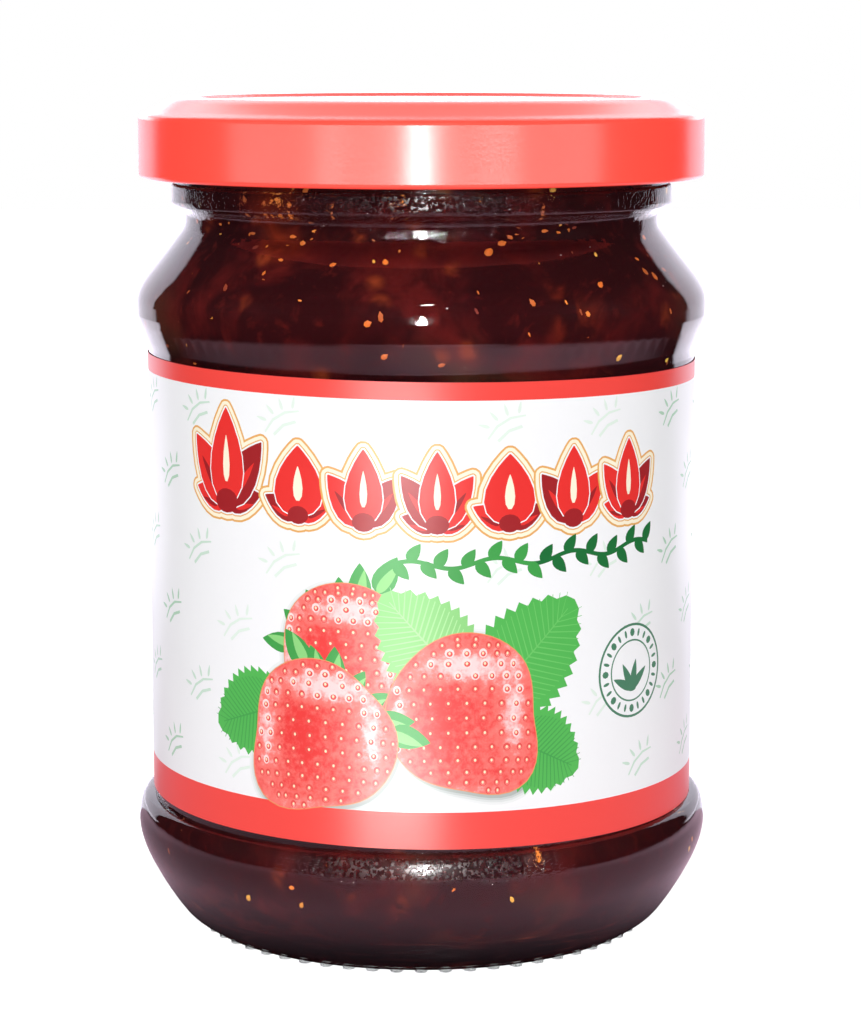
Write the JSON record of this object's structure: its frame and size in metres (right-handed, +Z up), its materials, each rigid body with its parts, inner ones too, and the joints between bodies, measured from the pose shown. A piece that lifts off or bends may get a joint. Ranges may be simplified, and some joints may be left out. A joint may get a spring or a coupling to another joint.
{
  "type": "jam jar",
  "caption": "Closed round glass jar of strawberry jam with a pressed twist-off lid and a wrap-around paper label.",
  "frame": {"origin": "middle of the resting ring, on the plane the jar stands on", "axes": "+Z up along the jar's axis towards the lid; the front of the label faces -Y and +X is to its right"},
  "size_m": [0.0716, 0.0716, 0.1027],
  "materials": {
    "clear_glass": "clear and glossy",
    "strawberry_jam": "dark red, wet",
    "red_lacquer": "glossy lacquer",
    "label_paper": "smooth coated paper"
  },
  "bodies": {
    "root": {"glass_jar": "clear_glass", "jam_filling": "strawberry_jam", "lid": "red_lacquer", "label": "label_paper"}
  },
  "joints": []
}
